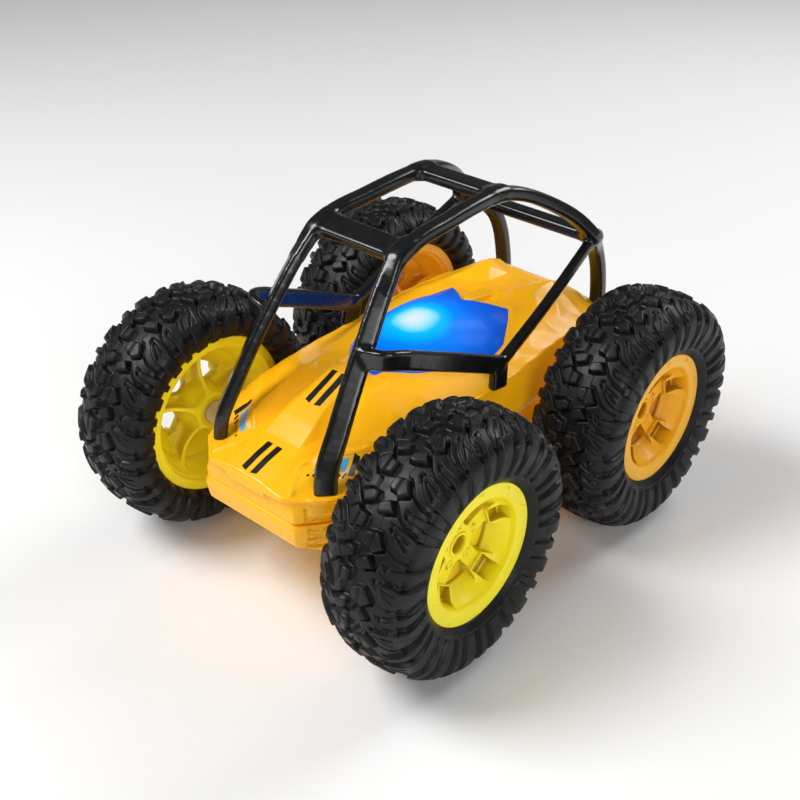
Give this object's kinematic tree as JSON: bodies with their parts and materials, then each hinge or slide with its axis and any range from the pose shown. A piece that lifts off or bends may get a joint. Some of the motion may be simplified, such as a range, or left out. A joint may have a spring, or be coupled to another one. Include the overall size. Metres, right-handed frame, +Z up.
{
  "type": "rc stunt car",
  "caption": "Radio-controlled stunt car with oversized lug tyres, a faceted two-part shell, a lit canopy and a one-piece roll cage; the wheels of each side turn together through a gear row.",
  "frame": {"origin": "on the ground, at the centre between the four wheels", "axes": "-Y towards the front, +X to the car's side (wheel axles run along X), +Z up"},
  "size_m": [0.191, 0.24, 0.1569],
  "materials": {
    "body_plastic": "glossy orange-yellow moulded plastic",
    "front_hub_plastic": "glossy lemon-yellow moulded plastic",
    "rear_hub_plastic": "glossy orange-yellow moulded plastic",
    "cage_plastic": "glossy black moulded plastic",
    "black_plastic": "fine-grained black plastic",
    "canopy_plastic": "glossy translucent blue, lit from below",
    "tyre_rubber": "black moulded rubber",
    "nylon": "natural nylon",
    "gearbox_plastic": "black moulded plastic",
    "steel": "bright zinc-plated steel",
    "motor_can": "drawn steel can",
    "brass": "machined brass",
    "circuit_board": "green solder mask",
    "battery_wrap": "blue shrink wrap",
    "lamp": "clear lens, lit"
  },
  "bodies": {
    "chassis": {"upper_shell": "body_plastic", "lower_shell": "body_plastic", "canopy": "canopy_plastic", "roll_cage": "cage_plastic", "battery_cover": "body_plastic", "battery_pack": "battery_wrap", "circuit_board": "circuit_board", "led_board": "circuit_board", "led_lamp": "lamp", "case_screws": "steel", "cage_screws": "steel", "gearbox_inner_plate_left": "gearbox_plastic", "gearbox_outer_plate_left": "gearbox_plastic", "motor_left": "motor_can", "gear_pins_left": "steel", "axle_bush_front_left": "nylon", "axle_bush_rear_left": "nylon", "gearbox_inner_plate_right": "gearbox_plastic", "gearbox_outer_plate_right": "gearbox_plastic", "motor_right": "motor_can", "gear_pins_right": "steel", "axle_bush_front_right": "nylon", "axle_bush_rear_right": "nylon"},
    "switch": {"power_switch": "black_plastic"},
    "wheel_front_left": {"tyre_front_left": "tyre_rubber", "hub_front_left": "front_hub_plastic", "hub_collar_front_left": "nylon", "hub_screw_front_left": "steel", "axle_front_left": "steel", "axle_gear_front_left": "nylon"},
    "wheel_rear_left": {"tyre_rear_left": "tyre_rubber", "hub_rear_left": "rear_hub_plastic", "hub_collar_rear_left": "nylon", "hub_screw_rear_left": "steel", "axle_rear_left": "steel", "axle_gear_rear_left": "nylon"},
    "idler_front_left": {"idler_gear_front_left": "nylon"},
    "idler_rear_left": {"idler_gear_rear_left": "nylon"},
    "centre_left": {"centre_gear_left": "nylon"},
    "reduction_left": {"reduction_gear_left": "nylon"},
    "rotor_left": {"motor_pinion_left": "brass", "motor_shaft_left": "steel"},
    "wheel_front_right": {"tyre_front_right": "tyre_rubber", "hub_front_right": "front_hub_plastic", "hub_collar_front_right": "nylon", "hub_screw_front_right": "steel", "axle_front_right": "steel", "axle_gear_front_right": "nylon"},
    "wheel_rear_right": {"tyre_rear_right": "tyre_rubber", "hub_rear_right": "rear_hub_plastic", "hub_collar_rear_right": "nylon", "hub_screw_rear_right": "steel", "axle_rear_right": "steel", "axle_gear_rear_right": "nylon"},
    "idler_front_right": {"idler_gear_front_right": "nylon"},
    "idler_rear_right": {"idler_gear_rear_right": "nylon"},
    "centre_right": {"centre_gear_right": "nylon"},
    "reduction_right": {"reduction_gear_right": "nylon"},
    "rotor_right": {"motor_pinion_right": "brass", "motor_shaft_right": "steel"}
  },
  "joints": [
    {"name": "switch_slide", "type": "slide", "parent": "chassis", "child": "switch", "axis": [0, 1, 0], "range_m": [0, 0.003]},
    {"name": "wheel_front_left_spin", "type": "hinge", "parent": "chassis", "child": "wheel_front_left", "pos_m": [-0.0745, -0.0645, 0.0555], "axis": [1, 0, 0], "continuous": true},
    {"name": "wheel_rear_left_spin", "type": "hinge", "parent": "chassis", "child": "wheel_rear_left", "pos_m": [-0.0745, 0.0645, 0.0555], "axis": [1, 0, 0], "continuous": true},
    {"name": "idler_front_left_spin", "type": "hinge", "parent": "chassis", "child": "idler_front_left", "pos_m": [-0.033, -0.0345, 0.0555], "axis": [1, 0, 0], "continuous": true},
    {"name": "idler_rear_left_spin", "type": "hinge", "parent": "chassis", "child": "idler_rear_left", "pos_m": [-0.033, 0.0345, 0.0555], "axis": [1, 0, 0], "continuous": true},
    {"name": "centre_left_spin", "type": "hinge", "parent": "chassis", "child": "centre_left", "pos_m": [-0.033, 0, 0.0555], "axis": [1, 0, 0], "continuous": true},
    {"name": "reduction_left_spin", "type": "hinge", "parent": "chassis", "child": "reduction_left", "pos_m": [-0.033, -0.01824, 0.07176], "axis": [1, 0, 0], "continuous": true},
    {"name": "rotor_left_spin", "type": "hinge", "parent": "chassis", "child": "rotor_left", "pos_m": [-0.028, -0.01824, 0.06026], "axis": [1, 0, 0], "continuous": true},
    {"name": "wheel_front_right_spin", "type": "hinge", "parent": "chassis", "child": "wheel_front_right", "pos_m": [0.0745, -0.0645, 0.0555], "axis": [1, 0, 0], "continuous": true},
    {"name": "wheel_rear_right_spin", "type": "hinge", "parent": "chassis", "child": "wheel_rear_right", "pos_m": [0.0745, 0.0645, 0.0555], "axis": [1, 0, 0], "continuous": true},
    {"name": "idler_front_right_spin", "type": "hinge", "parent": "chassis", "child": "idler_front_right", "pos_m": [0.033, -0.0345, 0.0555], "axis": [1, 0, 0], "continuous": true},
    {"name": "idler_rear_right_spin", "type": "hinge", "parent": "chassis", "child": "idler_rear_right", "pos_m": [0.033, 0.0345, 0.0555], "axis": [1, 0, 0], "continuous": true},
    {"name": "centre_right_spin", "type": "hinge", "parent": "chassis", "child": "centre_right", "pos_m": [0.033, 0, 0.0555], "axis": [1, 0, 0], "continuous": true},
    {"name": "reduction_right_spin", "type": "hinge", "parent": "chassis", "child": "reduction_right", "pos_m": [0.033, -0.01824, 0.07176], "axis": [1, 0, 0], "continuous": true},
    {"name": "rotor_right_spin", "type": "hinge", "parent": "chassis", "child": "rotor_right", "pos_m": [0.028, -0.01824, 0.06026], "axis": [1, 0, 0], "continuous": true}
  ],
  "couplings": [
    {"joint": "wheel_rear_left_spin", "follows": "wheel_front_left_spin", "ratio": 1},
    {"joint": "idler_front_left_spin", "follows": "wheel_front_left_spin", "ratio": -0.66667},
    {"joint": "idler_rear_left_spin", "follows": "wheel_front_left_spin", "ratio": -0.66667},
    {"joint": "centre_left_spin", "follows": "wheel_front_left_spin", "ratio": 0.72727},
    {"joint": "reduction_left_spin", "follows": "wheel_front_left_spin", "ratio": 2.4},
    {"joint": "rotor_left_spin", "follows": "wheel_front_left_spin", "ratio": -8.64},
    {"joint": "wheel_rear_right_spin", "follows": "wheel_front_right_spin", "ratio": 1},
    {"joint": "idler_front_right_spin", "follows": "wheel_front_right_spin", "ratio": -0.66667},
    {"joint": "idler_rear_right_spin", "follows": "wheel_front_right_spin", "ratio": -0.66667},
    {"joint": "centre_right_spin", "follows": "wheel_front_right_spin", "ratio": 0.72727},
    {"joint": "reduction_right_spin", "follows": "wheel_front_right_spin", "ratio": 2.4},
    {"joint": "rotor_right_spin", "follows": "wheel_front_right_spin", "ratio": -8.64}
  ]
}
